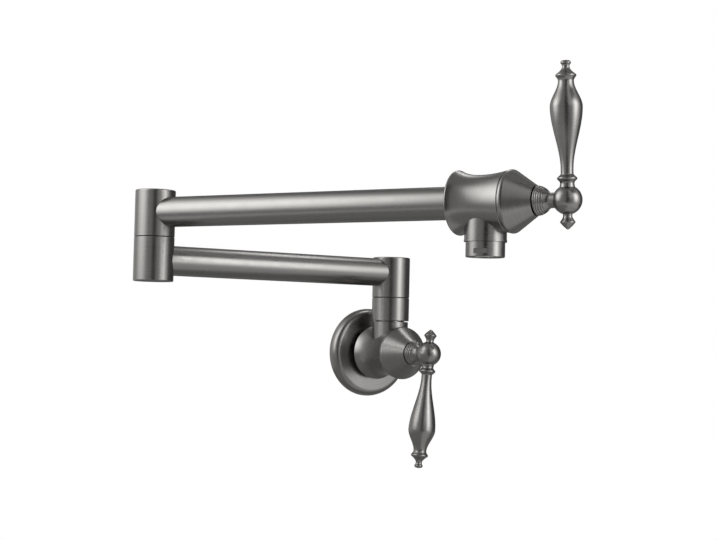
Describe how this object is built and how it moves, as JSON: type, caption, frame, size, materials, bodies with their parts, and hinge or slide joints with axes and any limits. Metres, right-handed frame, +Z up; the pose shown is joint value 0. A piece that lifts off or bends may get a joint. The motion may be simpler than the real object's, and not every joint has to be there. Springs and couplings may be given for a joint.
{
  "type": "wall mounted pot filler",
  "caption": "Wall mounted pot filler: a round flange and wall valve, a folding double-jointed arm, and a spout valve with an aerator, each valve with a turned lever.",
  "frame": {"origin": "centre of the wall inlet's mouth, on the face of the wall", "axes": "+Z up, -Y out of the wall into the room, +X to the right of someone facing the wall"},
  "size_m": [0.2598, 0.3475, 0.2735],
  "materials": {
    "brushed_gunmetal": "brushed gunmetal grey coating on brass, satin, with fine lathe and polishing lines",
    "plain_brass": "machined, uncoated",
    "stainless_steel": "plain",
    "white_ceramic": "lapped, matt",
    "black_rubber": "matt",
    "pale_nylon": "moulded"
  },
  "bodies": {
    "wall_mount": {"escutcheon": "brushed_gunmetal", "escutcheon_gasket": "black_rubber", "escutcheon_grip_ring": "black_rubber", "wall_valve_body": "brushed_gunmetal", "wall_bonnet": "brushed_gunmetal", "wall_cartridge_housing": "plain_brass", "wall_fixed_disc": "white_ceramic", "wall_seat_seal": "black_rubber", "wall_cartridge_o_ring": "black_rubber", "swivel_nut": "brushed_gunmetal"},
    "inner_arm": {"wall_socket": "brushed_gunmetal", "retaining_ring": "stainless_steel", "nut_slip_washer": "pale_nylon", "journal_o_rings": "black_rubber", "inner_tube": "brushed_gunmetal", "elbow_lower_socket": "brushed_gunmetal", "elbow_spindle": "plain_brass", "elbow_o_rings": "black_rubber", "elbow_slip_washer": "pale_nylon"},
    "outer_arm": {"elbow_upper_socket": "brushed_gunmetal", "elbow_grub_screw": "stainless_steel", "outer_tube": "brushed_gunmetal", "spout_valve_body": "brushed_gunmetal", "spout_bonnet": "brushed_gunmetal", "spout_cartridge_housing": "plain_brass", "spout_fixed_disc": "white_ceramic", "spout_seat_seal": "black_rubber", "spout_cartridge_o_ring": "black_rubber", "aerator_housing": "brushed_gunmetal", "aerator_insert": "pale_nylon", "aerator_screen": "stainless_steel", "aerator_gasket": "black_rubber"},
    "wall_handle": {"wall_stem": "plain_brass", "wall_moving_disc": "white_ceramic", "wall_stem_o_rings": "black_rubber", "wall_stem_clip": "stainless_steel", "wall_handle_hub": "brushed_gunmetal", "wall_lever": "brushed_gunmetal", "wall_finial": "brushed_gunmetal", "wall_hub_set_screw": "stainless_steel"},
    "spout_handle": {"spout_stem": "plain_brass", "spout_moving_disc": "white_ceramic", "spout_stem_o_rings": "black_rubber", "spout_stem_clip": "stainless_steel", "spout_handle_hub": "brushed_gunmetal", "spout_lever": "brushed_gunmetal", "spout_finial": "brushed_gunmetal", "spout_hub_set_screw": "stainless_steel"}
  },
  "joints": [
    {"name": "swing_wall", "type": "hinge", "parent": "wall_mount", "child": "inner_arm", "pos_m": [0, -0.0346, 0.06385], "axis": [0, 0, 1], "range_deg": [-2.2, 177.8]},
    {"name": "swing_elbow", "type": "hinge", "parent": "inner_arm", "child": "outer_arm", "pos_m": [-0.20974, -0.04266, 0.08045], "axis": [0, 0, 1], "continuous": true},
    {"name": "wall_handle_turn", "type": "hinge", "parent": "wall_mount", "child": "wall_handle", "pos_m": [0, -0.0346, 0], "axis": [0, -1, 0], "range_deg": [0, 90]},
    {"name": "spout_handle_turn", "type": "hinge", "parent": "outer_arm", "child": "spout_handle", "pos_m": [-0.08443, -0.28441, 0.09865], "axis": [0.4602, -0.8878, 0], "range_deg": [0, 90]}
  ]
}
